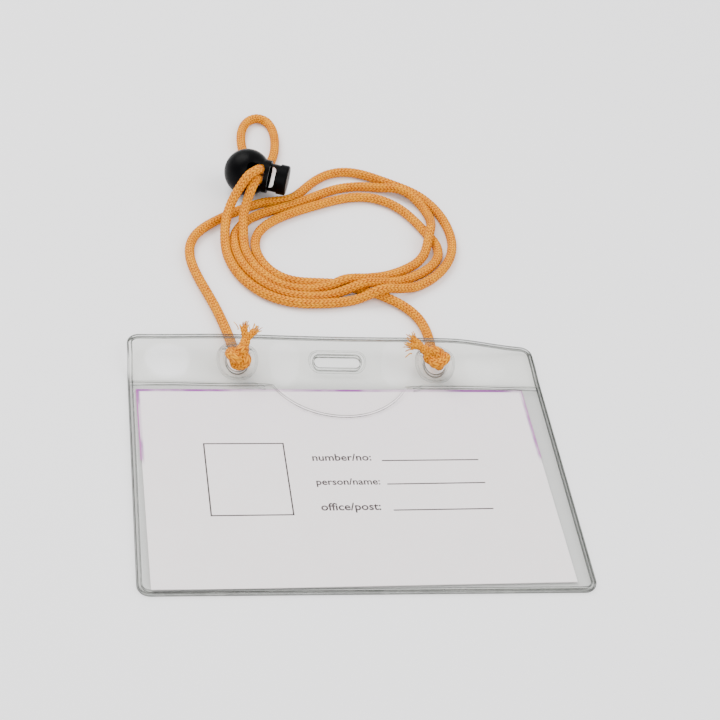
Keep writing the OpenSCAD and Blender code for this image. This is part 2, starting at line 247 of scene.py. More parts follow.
def new_piece(name, verts, faces, mat, smooth=True):
    """A mesh object from vertices in millimetres and faces, at the origin."""
    mesh = bpy.data.meshes.new(name)
    mesh.from_pydata((np.asarray(verts, float) * MM).tolist(), [], faces)
    mesh.update()
    if smooth:
        mesh.shade_smooth()
    mesh.materials.append(mat)
    obj = bpy.data.objects.new(name, mesh)
    bpy.context.scene.collection.objects.link(obj)
    return obj


def joined(parts):
    """One list of vertices and one of faces from several pairs of them."""
    verts, faces = [], []
    for made, polygons in parts:
        faces += [[v + len(verts) for v in polygon] for polygon in polygons]
        verts += np.asarray(made).tolist()
    return verts, faces


def belongs(obj, body, slot, *nodes):
    """Says which body a piece rides on and the CAD nodes that it replaces; slot is not used."""
    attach(obj, body)
    if nodes:
        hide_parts(*nodes)


def coat(node, mat):
    """Gives a piece of the CAD one material of its own."""
    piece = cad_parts[node]
    piece.data.materials.clear()
    piece.data.materials.append(mat)


def facing_out(obj):
    """Recalculates the normals of a closed mesh so that they point outwards."""
    work = bmesh.new()
    work.from_mesh(obj.data)
    bmesh.ops.recalc_face_normals(work, faces=work.faces)
    work.to_mesh(obj.data)
    work.free()


def grid_faces(rows, columns, close_rows=False):
    """Quads of a tube of rows of vertices round it, its first and last row joined if asked."""
    r = np.arange(rows if close_rows else rows - 1)
    r, c = np.meshgrid(r, np.arange(columns), indexing="ij")
    below, right = (r + 1) % rows, (c + 1) % columns
    quads = np.stack(
        [r * columns + c, below * columns + c, below * columns + right, r * columns + right], -1
    )
    return quads.reshape(-1, 4).tolist()


def add_uv(obj, name, values):
    """Writes a UV map from one value pair per loop."""
    layer = obj.data.uv_layers.new(name=name)
    layer.data.foreach_set("uv", np.asarray(values, np.float32).ravel())


def curve_through(points, spacing):
    """Points at even spacing on the centripetal Catmull-Rom curve through the given points."""
    p = np.asarray(points, float)
    p = np.vstack([2 * p[0] - p[1], p, 2 * p[-1] - p[-2]])
    knots = np.concatenate([[0], np.cumsum(np.linalg.norm(np.diff(p, axis=0), axis=1) ** 0.5)])
    fine = []
    for i in range(1, len(p) - 2):
        t0, t1, t2, t3 = knots[i - 1 : i + 3]
        t = np.linspace(t1, t2, 24, endpoint=False)[:, None]
        a1 = (t1 - t) / (t1 - t0) * p[i - 1] + (t - t0) / (t1 - t0) * p[i]
        a2 = (t2 - t) / (t2 - t1) * p[i] + (t - t1) / (t2 - t1) * p[i + 1]
        a3 = (t3 - t) / (t3 - t2) * p[i + 1] + (t - t2) / (t3 - t2) * p[i + 2]
        b1 = (t2 - t) / (t2 - t0) * a1 + (t - t0) / (t2 - t0) * a2
        b2 = (t3 - t) / (t3 - t1) * a2 + (t - t1) / (t3 - t1) * a3
        fine.append((t2 - t) / (t2 - t1) * b1 + (t - t1) / (t2 - t1) * b2)
    fine.append(p[-2:-1])
    return even(np.vstack(fine), spacing)


def even(line, spacing):
    """The same line with its points at even spacing along it."""
    run = np.concatenate([[0], np.cumsum(np.linalg.norm(np.diff(line, axis=0), axis=1))])
    count = max(int(round(run[-1] / spacing)), 2)
    at = np.linspace(0, run[-1], count + 1)
    return np.stack([np.interp(at, run, line[:, k]) for k in range(3)], 1)


def directions(line):
    """Side and up at each point of a line, the side carried along the line without twist."""
    tangent = np.gradient(line, axis=0)
    tangent /= np.linalg.norm(tangent, axis=1, keepdims=True)
    side = np.empty_like(line)
    last = np.cross(tangent[0], (0.13, 0.37, 0.92))
    for i, t in enumerate(tangent):
        last = last - t * (last @ t)
        last = last / np.linalg.norm(last)
        side[i] = last
    return side, np.cross(tangent, side)


def tube_mesh(line, radius, around):
    """Tube surface: point(s, a) = line(s) + radius(s, a) * (cos(a) side(s) + sin(a) up(s)).

    radius is one number, one per point, or one per point and angle. Both ends are capped.
    Returns the vertices and the faces.
    """
    side, up = directions(line)
    a = np.arange(around) * 2 * np.pi / around
    reach = np.broadcast_to(np.asarray(radius, float), (len(line), around))
    ring = np.cos(a)[None, :, None] * side[:, None] + np.sin(a)[None, :, None] * up[:, None]
    verts = (line[:, None] + reach[..., None] * ring).reshape(-1, 3)
    faces = [quad[::-1] for quad in grid_faces(len(line), around)]
    first = len(verts)
    verts = np.vstack([verts, line[:1], line[-1:]])
    end = (len(line) - 1) * around
    k = np.arange(around)
    nxt = (k + 1) % around
    faces += np.stack([np.full(around, first), nxt, k], 1).tolist()
    faces += np.stack([np.full(around, first + 1), end + k, end + nxt], 1).tolist()
    return verts, faces


# ---- Shader node helpers ------------------------------------------------------------------


def feed(tree, socket, value):
    """Gives an input its value: a link from an output, or else a number, vector or colour."""
    if isinstance(value, bpy.types.NodeSocket):
        tree.links.new(value, socket)
    elif value is not None:
        socket.default_value = value


def maths(tree, operation, a, b=None, clamp=False):
    """A Math node whose inputs are outputs of other nodes or numbers. Returns its output."""
    node = tree.nodes.new("ShaderNodeMath")
    node.operation = operation
    node.use_clamp = clamp
    feed(tree, node.inputs[0], a)
    feed(tree, node.inputs[1], b)
    return node.outputs[0]


def times(tree, a, b):
    """The product of two outputs or numbers."""
    return maths(tree, "MULTIPLY", a, b)


def plus(tree, a, b):
    """The sum of two outputs or numbers."""
    return maths(tree, "ADD", a, b)


def vector_maths(tree, operation, *values):
    """A Vector Math node fed with outputs, vectors or, for Scale, a number. Returns its output."""
    node = tree.nodes.new("ShaderNodeVectorMath")
    node.operation = operation
    sockets = [socket for socket in node.inputs if socket.enabled]
    for socket, value in zip(sockets, values):
        feed(tree, socket, value)
    return node.outputs["Value" if operation == "LENGTH" else "Vector"]


def parts_of(tree, vector):
    """A vector's X, Y and Z outputs."""
    node = tree.nodes.new("ShaderNodeSeparateXYZ")
    tree.links.new(vector, node.inputs[0])
    return node.outputs


def placed(tree, vector, turned=(0, 0, 0), kind="POINT", at=(0, 0, 0), scale=(1, 1, 1)):
    """A Mapping node on a vector. Returns its output."""
    node = tree.nodes.new("ShaderNodeMapping")
    node.vector_type = kind
    node.inputs["Location"].default_value = at
    node.inputs["Rotation"].default_value = turned
    node.inputs["Scale"].default_value = scale
    tree.links.new(vector, node.inputs["Vector"])
    return node.outputs[0]


def ranged(tree, value, low, high, to_low=0.0, to_high=1.0):
    """Smooth map of a value from one range to another. Returns the output."""
    node = tree.nodes.new("ShaderNodeMapRange")
    node.interpolation_type = "SMOOTHSTEP"
    tree.links.new(value, node.inputs["Value"])
    node.inputs["From Min"].default_value = low
    node.inputs["From Max"].default_value = high
    node.inputs["To Min"].default_value = to_low
    node.inputs["To Max"].default_value = to_high
    return node.outputs[0]


def mixed(tree, share, a, b):
    """Colour mix of a and b, each a socket or a colour. Returns the colour output."""
    node = tree.nodes.new("ShaderNodeMix")
    node.data_type = "RGBA"
    for key, value in ((0, share), (6, a), (7, b)):
        feed(tree, node.inputs[key], value)
    return node.outputs[2]


def noise(tree, vector, scale, detail=4.0, roughness=0.55, stretch=None):
    """Noise at a scale per metre, on coordinates that may be stretched. Returns its value."""
    if stretch is not None:
        vector = placed(tree, vector, scale=stretch)
    node = tree.nodes.new("ShaderNodeTexNoise")
    node.inputs["Scale"].default_value = scale
    node.inputs["Detail"].default_value = detail
    node.inputs["Roughness"].default_value = roughness
    tree.links.new(vector, node.inputs["Vector"])
    return node.outputs["Fac"]


def bump(tree, height, strength, distance):
    """A Bump node on a height. Returns its normal."""
    node = tree.nodes.new("ShaderNodeBump")
    node.inputs["Strength"].default_value = strength
    node.inputs["Distance"].default_value = distance
    tree.links.new(height, node.inputs["Height"])
    return node.outputs[0]


def principled(tree, colour, roughness, normal=None, specular=0.5, metallic=0.0):
    """A Principled BSDF fed with outputs or values. Returns its output."""
    node = tree.nodes.new("ShaderNodeBsdfPrincipled")
    feed(tree, node.inputs["Base Color"], colour)
    feed(tree, node.inputs["Roughness"], roughness)
    feed(tree, node.inputs["Normal"], normal)
    node.inputs["Specular IOR Level"].default_value = specular
    node.inputs["Metallic"].default_value = metallic
    return node.outputs[0]


def see_through(tree, colour):
    """A Transparent BSDF in a colour. Returns its output."""
    node = tree.nodes.new("ShaderNodeBsdfTransparent")
    feed(tree, node.inputs["Color"], colour)
    return node.outputs[0]


def blended(tree, share, first, second):
    """A Mix Shader node of two shaders. Returns its output."""
    node = tree.nodes.new("ShaderNodeMixShader")
    for socket, value in zip(node.inputs, (share, first, second)):
        feed(tree, socket, value)
    return node.outputs[0]


def front_only(tree, share):
    """A share that falls to none on a surface's back."""
    side = tree.nodes.new("ShaderNodeNewGeometry")
    return times(tree, share, maths(tree, "SUBTRACT", 1, side.outputs["Backfacing"]))


def group(name, inputs, outputs):
    """An empty node group with the named inputs and outputs, and its input and output nodes."""
    tree = bpy.data.node_groups.new(name, "ShaderNodeTree")
    for label, kind in inputs:
        tree.interface.new_socket(label, in_out="INPUT", socket_type=kind)
    for label, kind in outputs:
        tree.interface.new_socket(label, in_out="OUTPUT", socket_type=kind)
    return tree, tree.nodes.new("NodeGroupInput"), tree.nodes.new("NodeGroupOutput")


def handling_group():
    """Handling marks: soft smudges, fine grain and sparse hair scratches."""
    name = "Handling marks"
    if name in bpy.data.node_groups:
        return bpy.data.node_groups[name]
    tree, inside, out = group(
        name,
        [("Vector", "NodeSocketVector"), ("Scale", "NodeSocketFloat")],
        [(k, "NodeSocketFloat") for k in ("Smudge", "Grain", "Scratch")],
    )
    place = vector_maths(tree, "SCALE", inside.outputs["Vector"], inside.outputs["Scale"])
    smudge = ranged(tree, noise(tree, place, 40, 3), 0.35, 0.7)
    grain = noise(tree, place, 2600, 2)
    first = noise(tree, place, 90, 2, stretch=(1, 26, 1))
    second = noise(tree, place, 70, 2, stretch=(22, 1.5, 1))
    scratch = maths(
        tree, "MAXIMUM", ranged(tree, first, 0.70, 0.76), ranged(tree, second, 0.72, 0.78)
    )
    tree.links.new(smudge, out.inputs["Smudge"])
    tree.links.new(grain, out.inputs["Grain"])
    tree.links.new(scratch, out.inputs["Scratch"])
    return tree


def material(name):
    """An empty node material. Returns it with its tree and its surface input."""
    made = bpy.data.materials.new(name)
    made.use_nodes = True
    tree = made.node_tree
    tree.nodes.clear()
    return made, tree, tree.nodes.new("ShaderNodeOutputMaterial").inputs["Surface"]


def marks(tree, scale=1.0, turned=(0, 0, 0)):
    """A Handling marks group on Object coordinates, turned so that pieces differ. Returns the
    group's outputs and the coordinates."""
    place = tree.nodes.new("ShaderNodeTexCoord").outputs["Object"]
    node = tree.nodes.new("ShaderNodeGroup")
    node.node_tree = handling_group()
    node.inputs["Scale"].default_value = scale
    tree.links.new(placed(tree, place, turned), node.inputs["Vector"])
    return node.outputs, place


def contact_patches(tree, place):
    """Where the header's plies cling together and look paler: soft-edged blobs, their outlines
    wandering with noise."""
    wander = tree.nodes.new("ShaderNodeTexNoise")
    wander.inputs["Scale"].default_value = 90
    tree.links.new(place, wander.inputs["Vector"])
    reach = 4 * MM
    moved = vector_maths(tree, "MULTIPLY_ADD", wander.outputs["Color"], (reach, reach, 0), place)
    total = None
    for x, y, wide, tall, strength in PATCHES:
        middle = (x * MM + reach / 2, y * MM + reach / 2, 0)
        blob = placed(tree, moved, kind="TEXTURE", at=middle, scale=(wide * MM, tall * MM, 1))
        far = vector_maths(tree, "LENGTH", vector_maths(tree, "MULTIPLY", blob, (1, 1, 0)))
        mask = ranged(tree, far, 0.86, 1.12, strength, 0)
        total = mask if total is None else maths(tree, "MAXIMUM", total, mask)
    return total


def vinyl_material(name, tint, haze, gloss, turned, painted_pocket_shade=0.0):
    """Clear soft vinyl: mostly lets light through with a faint tint, a little milky haze that
    grows at smudges and hair scratches, and a satin mirror that grows at a slant."""
    made, tree, surface = material(name)
    handling, place = marks(tree, 1.0, turned)
    waves = noise(tree, place, 55, 2, stretch=(1, 1.7, 1))
    height = plus(tree, waves, times(tree, handling["Grain"], 0.015))
    normal = bump(tree, height, 0.35, 0.0012)
    # Painted shadow: below the slit the tint is darkened towards grey by the last argument's share,
    # standing in for the shade under the holder beside the card.
    pocket = ranged(tree, parts_of(tree, place)["Y"], (SLIT_Y - 1) * MM, (SLIT_Y + 5) * MM, 1, 0)
    tone = mixed(tree, times(tree, pocket, painted_pocket_shade), tint, (0.46, 0.465, 0.46, 1))
    touching = contact_patches(tree, place)
    tone = mixed(tree, touching, tone, (0.992, 0.993, 0.992, 1))
    clear = see_through(tree, tone)
    rough = plus(tree, times(tree, handling["Smudge"], 0.16), gloss)
    milk = principled(tree, (0.70, 0.71, 0.70, 1), rough, normal)
    mirror = principled(tree, (0.95, 0.96, 0.96, 1), rough, normal, metallic=1.0)
    marked = plus(tree, times(tree, handling["Smudge"], 0.5), times(tree, handling["Scratch"], 1.6))
    cloudy = plus(tree, times(tree, marked, haze), haze)
    cloudy = times(tree, cloudy, ranged(tree, touching, 0, 1, 1, 0.25))
    fresnel = tree.nodes.new("ShaderNodeFresnel")
    fresnel.inputs["IOR"].default_value = 1.5
    tree.links.new(normal, fresnel.inputs["Normal"])
    shining = times(tree, front_only(tree, fresnel.outputs[0]), 0.45)
    body = blended(tree, cloudy, clear, milk)
    tree.links.new(blended(tree, shining, body, mirror), surface)
    return made


def braid_group():
    """Braid pattern from the cord's own map: u is the run in millimetres, v the turn round it.

    Columns of V stitches: the phase of a stitch is u over its length plus a slant by the
    distance from the column's middle. Proud is high on a yarn and low between yarns.
    """
    name = "Braid"
    if name in bpy.data.node_groups:
        return bpy.data.node_groups[name]
    tree, inside, out = group(
        name,
        [("UV", "NodeSocketVector"), ("Stitch", "NodeSocketFloat"), ("Columns", "NodeSocketFloat")],
        [("Proud", "NodeSocketFloat"), ("Fibre", "NodeSocketFloat"), ("Yarn", "NodeSocketFloat")],
    )
    run, turn, _ = parts_of(tree, inside.outputs["UV"])
    columns = times(tree, turn, inside.outputs["Columns"])
    local = maths(tree, "SUBTRACT", times(tree, maths(tree, "FRACT", columns), 2), 1)
    off = maths(tree, "ABSOLUTE", local)
    stitches = maths(tree, "DIVIDE", run, inside.outputs["Stitch"])
    phase = plus(tree, stitches, times(tree, off, SLANT))
    wave = maths(tree, "SINE", times(tree, maths(tree, "FRACT", phase), math.pi))
    middle = maths(tree, "ABSOLUTE", maths(tree, "SUBTRACT", times(tree, off, 2), 1))
    across = maths(tree, "SUBTRACT", 1, times(tree, maths(tree, "POWER", middle, 4), 0.7))
    proud = maths(tree, "MULTIPLY", maths(tree, "POWER", wave, 0.8), across, clamp=True)
    lines = plus(tree, times(tree, phase, 7), times(tree, columns, 3))
    fibre = maths(tree, "SINE", times(tree, lines, 2 * math.pi))
    fibre = plus(tree, times(tree, fibre, 0.5), 0.5)
    whole = tree.nodes.new("ShaderNodeCombineXYZ")
    tree.links.new(maths(tree, "FLOOR", phase), whole.inputs[0])
    tree.links.new(maths(tree, "FLOOR", times(tree, columns, 2)), whole.inputs[1])
    random = tree.nodes.new("ShaderNodeTexWhiteNoise")
    tree.links.new(whole.outputs[0], random.inputs["Vector"])
    for label, value in (("Proud", proud), ("Fibre", fibre), ("Yarn", random.outputs["Value"])):
        tree.links.new(value, out.inputs[label])
    return tree


def cord_material():
    """Lustrous braided polyester: each yarn a little different, with painted shade in the grooves, a
    painted highlight on the yarns' tops and painted shade on its turned-away sides, fine fibres along
    it and a soft sheen."""
    made, tree, surface = material("Braided cord")
    look = cord_sizes()
    light, dark = tuple(look.proud_yarn_highlight), tuple(look.groove_shade)
    uv = tree.nodes.new("ShaderNodeUVMap")
    uv.uv_map = "Run"
    braid = tree.nodes.new("ShaderNodeGroup")
    braid.node_tree = braid_group()
    braid.inputs["Stitch"].default_value = look.stitch
    braid.inputs["Columns"].default_value = COLUMNS
    tree.links.new(uv.outputs[0], braid.inputs["UV"])
    handling, _ = marks(tree, 2.0)
    proud, fibre, yarn = (braid.outputs[label] for label in ("Proud", "Fibre", "Yarn"))
    # Painted shade and painted highlight: the low parts of the braid get the groove shade colour and
    # its proud tops the highlight colour, streaked by the fibres.
    shade = times(tree, ranged(tree, proud, 0.22, 0.98), plus(tree, times(tree, fibre, 0.3), 0.7))
    base = mixed(tree, shade, dark, light)
    base = mixed(tree, times(tree, yarn, 0.35), base, (1.0, 0.47, 0.0, 1))
    # Painted shade: where the surface turns away from the camera it is darkened towards the groove
    # shade colour; smudged wear darkens it too.
    slant = tree.nodes.new("ShaderNodeLayerWeight")
    slant.inputs["Blend"].default_value = 0.35
    turned = ranged(tree, slant.outputs["Facing"], 0.25, 0.9, 0, 0.55)
    worn = times(tree, handling["Smudge"], 0.12)
    tint = mixed(tree, maths(tree, "MAXIMUM", turned, worn), base, dark)
    height = plus(tree, times(tree, proud, 0.7), times(tree, fibre, 0.3))
    rough = ranged(tree, yarn, 0, 1, 0.38, 0.55)
    cloth = principled(tree, tint, rough, bump(tree, height, 0.55, 0.00018), specular=0.10)
    tree.links.new(cloth, surface)
    return made


def plastic_material():
    """Semi-gloss black moulded plastic: fine spark-eroded grain, rubbed smoother in patches,
    with a few pale hair scratches."""
    made, tree, surface = material("Black plastic")
    handling, place = marks(tree, 3.0, (0.3, 0.2, 0.9))
    tint = mixed(tree, times(tree, handling["Scratch"], 0.35), tuple(cord_sizes().plastic),
                 (0.008, 0.008, 0.009, 1))
    rough = ranged(tree, handling["Smudge"], 0, 1, 0.30, 0.44)
    grain = noise(tree, place, 5200, 2)
    height = plus(tree, times(tree, grain, 0.8), times(tree, handling["Smudge"], 0.6))
    body = principled(tree, tint, rough, bump(tree, height, 0.12, 0.0002), specular=0.05)
    tree.links.new(body, surface)
    return made


def dyed_edge(tree, place):
    """Share of dye from the slip along the card's top edge and the top third of its sides.
    Works in the card's own directions, from its middle."""
    middle = (CARD_MID[0] * MM, CARD_MID[1] * MM, 0)
    own = parts_of(tree, placed(tree, place, (0, 0, CARD_TILT), "TEXTURE", middle))
    top = ranged(tree, own["Y"], 39.8 * MM, 40.3 * MM)
    sides = ranged(tree, maths(tree, "ABSOLUTE", own["X"]), 62.4 * MM, 63.2 * MM)
    sides = times(tree, sides, ranged(tree, own["Y"], 7 * MM, 13 * MM))
    patchy = ranged(tree, noise(tree, place, 45, 3), 0.40, 0.58, 0.35, 1.0)
    return times(tree, maths(tree, "MAXIMUM", top, sides), patchy)


def paper_material():
    """Matt off-white card: soft fibre mottling, pinker towards its top edge."""
    made, tree, surface = material("Card paper")
    handling, place = marks(tree, 1.5, (0, 0, 0.6))
    fibre = noise(tree, place, 900, 5, 0.65, stretch=(1, 0.35, 1))
    top = ranged(tree, parts_of(tree, place)["Y"], (CARD_LOW[1] + 35) * MM, CARD_HIGH[1] * MM)
    plain = tuple(sizes().card_colour)
    base = mixed(tree, times(tree, top, 0.6), plain, (0.985, 0.87, 0.94, 1))
    base = mixed(tree, ranged(tree, fibre, 0.35, 0.75, 0, 0.28), base, (0.985, 0.95, 0.955, 1))
    base = mixed(tree, times(tree, handling["Smudge"], 0.18), base, (0.90, 0.84, 0.85, 1))
    base = mixed(tree, dyed_edge(tree, place), base, (0.30, 0.05, 0.34, 1))
    rough = ranged(tree, fibre, 0.3, 0.7, 0.72, 0.88)
    paper = principled(tree, base, rough, bump(tree, fibre, 0.25, 0.00012), specular=0.25)
    tree.links.new(paper, surface)
    return made


def slip_material():
    """Thin pink slip with a fine grain."""
    made, tree, surface = material("Slip paper")
    _, place = marks(tree, 1.5)
    fibre = noise(tree, place, 1100, 4)
    base = mixed(tree, ranged(tree, fibre, 0.3, 0.8), (0.46, 0.10, 0.42, 1), (0.58, 0.18, 0.52, 1))
    rough = ranged(tree, fibre, 0.3, 0.7, 0.65, 0.85)
    tree.links.new(principled(tree, base, rough, bump(tree, fibre, 0.2, 0.0001)), surface)
    return made


def ink_material():
    """Thin brown-mauve printing, broken a little by the paper's fibres."""
    made, tree, surface = material("Ink")
    _, place = marks(tree, 1.0)
    fibre = noise(tree, place, 2400, 4, 0.7)
    base = mixed(tree, ranged(tree, fibre, 0.35, 0.75), (0.016, 0.006, 0.008, 1),
                 (0.06, 0.03, 0.034, 1))
    tree.links.new(principled(tree, base, ranged(tree, fibre, 0.3, 0.7, 0.6, 0.8)), surface)
    return made


def steel_material():
    """Drawn spring wire with fine marks along it."""
    made, tree, surface = material("Spring steel")
    handling, _ = marks(tree, 6.0)
    tint = mixed(tree, handling["Smudge"], (0.62, 0.62, 0.64, 1), (0.45, 0.44, 0.44, 1))
    rough = ranged(tree, handling["Grain"], 0.2, 0.8, 0.22, 0.42)
    tree.links.new(principled(tree, tint, rough, metallic=1.0), surface)
    return made


def bead_material():
    """Fused clear vinyl: see-through along its tops, with painted shade where it curves away,
    standing in for light that the bead bends aside.
    """
    made, tree, surface = material("Fused vinyl")
    handling, place = marks(tree, 2.0, (0, 0, 0.8))
    normal = bump(tree, noise(tree, place, 300, 3), 0.25, 0.0003)
    slant = tree.nodes.new("ShaderNodeLayerWeight")
    slant.inputs["Blend"].default_value = 0.42
    tree.links.new(normal, slant.inputs["Normal"])
    # Painted shade: the slant of the surface darkens the see-through tone; shadow rays still pass
    # almost untinted.
    turned = ranged(tree, slant.outputs["Facing"], 0.13, 0.52)
    tone = mixed(tree, turned, (0.985, 0.987, 0.982, 1), (0.035, 0.040, 0.026, 1))
    path = tree.nodes.new("ShaderNodeLightPath")
    tone = mixed(tree, path.outputs["Is Shadow Ray"], tone, (0.985, 0.988, 0.985, 1))
    clear = see_through(tree, tone)
    rough = ranged(tree, handling["Smudge"], 0, 1, 0.10, 0.24)
    gloss = principled(tree, (0.80, 0.82, 0.81, 1), rough, normal)
    share = front_only(tree, plus(tree, times(tree, handling["Scratch"], 0.1), 0.09))
    tree.links.new(blended(tree, share, clear, gloss), surface)
    return made


def cut_edge_material():
    """Cut edge of a ply: light leaves it sideways, so it looks like a thin grey line."""
    made, tree, surface = material("Cut edge")
    _, place = marks(tree, 1.0)
    fine = ranged(tree, noise(tree, place, 240, 3), 0.35, 0.7)
    tone = mixed(tree, fine, (0.16, 0.17, 0.15, 1), (0.42, 0.43, 0.40, 1))
    tree.links.new(see_through(tree, tone), surface)
    return made


def yarn_material():
    """Loose yarn of the cord: fine fibres along it and a soft sheen."""
    made, tree, surface = material("Loose yarn")
    handling, place = marks(tree, 3.0)
    fibre = noise(tree, place, 1800, 3)
    # The darker tone of this random mottle is the cord's painted groove shade colour.
    dark = tuple(cord_sizes().groove_shade)
    base = mixed(tree, ranged(tree, fibre, 0.3, 0.7), dark, (0.92, 0.46, 0.0, 1))
    rough = ranged(tree, handling["Grain"], 0.2, 0.8, 0.4, 0.6)
    tree.links.new(principled(tree, base, rough, bump(tree, fibre, 0.3, 0.0001)), surface)
    return made


def floor_material():
    """Plain pale table with a barely visible mottling."""
    made, tree, surface = material("Pale table")
    place = tree.nodes.new("ShaderNodeTexCoord").outputs["Object"]
    soft = noise(tree, place, 6, 2)
    base = mixed(tree, soft, (0.92, 0.915, 0.92, 1), (0.955, 0.95, 0.955, 1))
    tree.links.new(principled(tree, base, 0.55, specular=0.3), surface)
    return made


# ---- Stage --------------------------------------------------------------------------------


class StageOperator(bpy.types.Operator):
    """Adds the camera, the studio lights and the pale floor"""

    bl_idname = "badge.stage"
    bl_label = "Stage"

    camera_at = (-99.67, -365.21, 385.12)
    aimed_at = (8.86, 47.14, 0.0)
    camera_roll = math.radians(11)
    lens = 86.15
    lit = Vector((0, 0.05, 0))  # where the lamps point, in metres
    # Each lamp's name, place and width in metres, power in watts, and colour.
    lamps = (
        ("Window", (-0.55, 0.75, 1.05), 1.1, 24, (1.0, 0.99, 0.98)),
        ("Fill", (0.9, -0.1, 0.9), 1.2, 13, (0.97, 0.98, 1.0)),
        ("Front", (-0.35, -0.95, 0.8), 1.0, 9, (1.0, 0.98, 0.97)),
    )

    def execute(self, context):
        scene = context.scene
        camera_data = bpy.data.cameras.new("Camera")
        camera_data.lens = self.lens
        camera_data.sensor_width = 36
        camera_data.clip_end = 20
        camera = bpy.data.objects.new("Camera", camera_data)
        at, aim = Vector(self.camera_at) * MM, Vector(self.aimed_at) * MM
        turn = (aim - at).to_track_quat("-Z", "Y").to_matrix()
        turn = turn @ Matrix.Rotation(self.camera_roll, 3, "Z")
        camera.matrix_world = Matrix.Translation(at) @ turn.to_4x4()
        scene.collection.objects.link(camera)
        scene.camera = camera
        for name, place, width, power, colour in self.lamps:
            lamp_data = bpy.data.lights.new(name, "AREA")
            lamp_data.shape = "DISK"
            lamp_data.size = width
            lamp_data.energy = power
            lamp_data.color = colour
            lamp = bpy.data.objects.new(name, lamp_data)
            lamp.location = place
            aim_down = self.lit - Vector(place)
            lamp.rotation_euler = aim_down.to_track_quat("-Z", "Y").to_euler()
            scene.collection.objects.link(lamp)
        world = bpy.data.worlds.new("Studio")
        world.use_nodes = True
        sky = world.node_tree.nodes["Background"].inputs
        sky["Color"].default_value = (0.92, 0.93, 0.95, 1)
        sky["Strength"].default_value = 0.95
        scene.world = world
        half = 4000
        floor = new_piece(
            "floor",
            [(-half, -half, 0), (half, -half, 0), (half, half, 0), (-half, half, 0)],
            [(0, 1, 2, 3)],
            floor_material(),
        )
        return {"FINISHED"}


# ---- Cord ---------------------------------------------------------------------------------


def from_lock(x, y, z):
    """Place in the holder's frame of a point in the lock's own frame, in millimetres."""
    return tuple(LOCK_AT + LOCK_TURN @ np.array([x, y, z]))


def cord_route():
    """The whole cord's listed points, from the left eyelet to the right one."""
    upper = [from_lock(STRAND_X, y, STRAND_Z) for y in (-10, -6, 0, 6)]
    lower = [from_lock(STRAND_X, y, -STRAND_Z) for y in (6, 0, -6, -10)]
    to_lock = LEFT_LEG + OUTER_TURN + UPPER_IN + upper + LOOP + lower + LOWER_IN
    return to_lock + MIDDLE_TURN[::-1] + INNER_TURN[::-1] + RIGHT_LEG[::-1]


def settled(line, diameter, rounds=90):
    """Lets the cord settle: strands that cross closer than a diameter push each other apart,
    nothing sinks into the table, and the line stays smooth. The stretches inside the lock and
    the eyelets are held where they are."""
    start = line.copy()
    gap = 0.97 * diameter
    spacing = np.linalg.norm(line[1] - line[0])
    reach = int(3.2 * diameter / spacing)
    index = np.arange(len(line))
    near = np.abs(index[:, None] - index[None, :]) <= reach
    in_lock = np.linalg.norm(start - LOCK_AT, axis=1) < LOCK_REACH
    in_header = start[:, 1] < HELD_Y
    free = (~(in_lock | in_header)).astype(float)[:, None]
    for _ in range(rounds):
        apart = line[:, None] - line[None]
        far = np.linalg.norm(apart, axis=2)
        far[near] = np.inf
        deep = np.clip(gap - far, 0, None)
        push = (apart * (deep / np.maximum(far, 1e-6))[..., None])
        push[..., 2] *= 1.3
        line = line + 0.42 * free * push.sum(1)
        line[1:-1] += 0.22 * free[1:-1] * (0.5 * (line[:-2] + line[2:]) - line[1:-1])
        line += 0.02 * free * (start - line)
        line[:, 2] -= 0.02 * free[:, 0]
        on_table = np.maximum(line[:, 2], diameter / 2 + 0.02)
        line[:, 2] = np.where(free[:, 0] > 0, on_table, line[:, 2])
    return line


def stitch_relief(run, turn, stitch):
    """Height of the braid, from 0 to 1, at a run in millimetres and a turn from 0 to 1.

    The same rule as the Braid shader: columns of V stitches, each yarn round in section.
    """
    off = np.abs((turn * COLUMNS) % 1 * 2 - 1)
    phase = run / stitch + SLANT * off
    wave = np.sin(np.pi * (phase % 1)) ** 0.8
    across = 1 - 0.7 * np.abs(2 * off - 1) ** 4
    return np.clip(wave * across, 0, 1)


def braided_tube(name, line, diameter, spacing, around, mat, tight=1.0):
    """Braided cord: a tube whose radius is that of the yarns' tops less the braid's grooves.
    Tight is how much shorter its stitches are than the cord's."""
    look = cord_sizes()
    line = even(line, spacing)
    run = np.arange(len(line)) * np.linalg.norm(line[1] - line[0]) * tight
    turn = np.arange(around) / around
    relief = stitch_relief(run[:, None], turn[None], look.stitch)
    radius = diameter / 2 - look.relief * (1 - relief)
    verts, faces = tube_mesh(line, radius, around)
    cord = new_piece(name, verts, faces, mat)
    quads = (len(line) - 1) * around
    last_column = np.arange(quads)[:, None] % around == around - 1
    rows, cols = np.divmod(np.array(faces[:quads]), around)
    cols = np.where((cols == 0) & last_column, around, cols)
    loops = np.full((len(cord.data.loops), 2), (0.5, 0.1))
    loops[: quads * 4] = np.column_stack([run[rows].ravel(), cols.ravel() / around])
    add_uv(cord, "Run", loops)
    return cord, line


class CordOperator(bpy.types.Operator):
    """Makes the braided cord with its coil and its loop"""

    bl_idname = "badge.cord"
    bl_label = "Cord"

    spacing = 0.4  # between rings of vertices, in millimetres

    def execute(self, context):
        look = cord_sizes()
        mat = cord_material()
        laid = settled(curve_through(cord_route(), 1.4), look.diameter)
        every_third = [*laid[::3].tolist(), laid[-1].tolist()]
        smooth = curve_through(every_third, self.spacing)
        cord, line = braided_tube("neck_cord", smooth, look.diameter, self.spacing, 36, mat)
        belongs(cord, HOLDER, "braided_cord",
                "cord_left_leg", "cord_right_leg", "cord_coil", "cord_lock_loop")
        return {"FINISHED"}


# ---- Knots and frayed ends ----------------------------------------------------------------


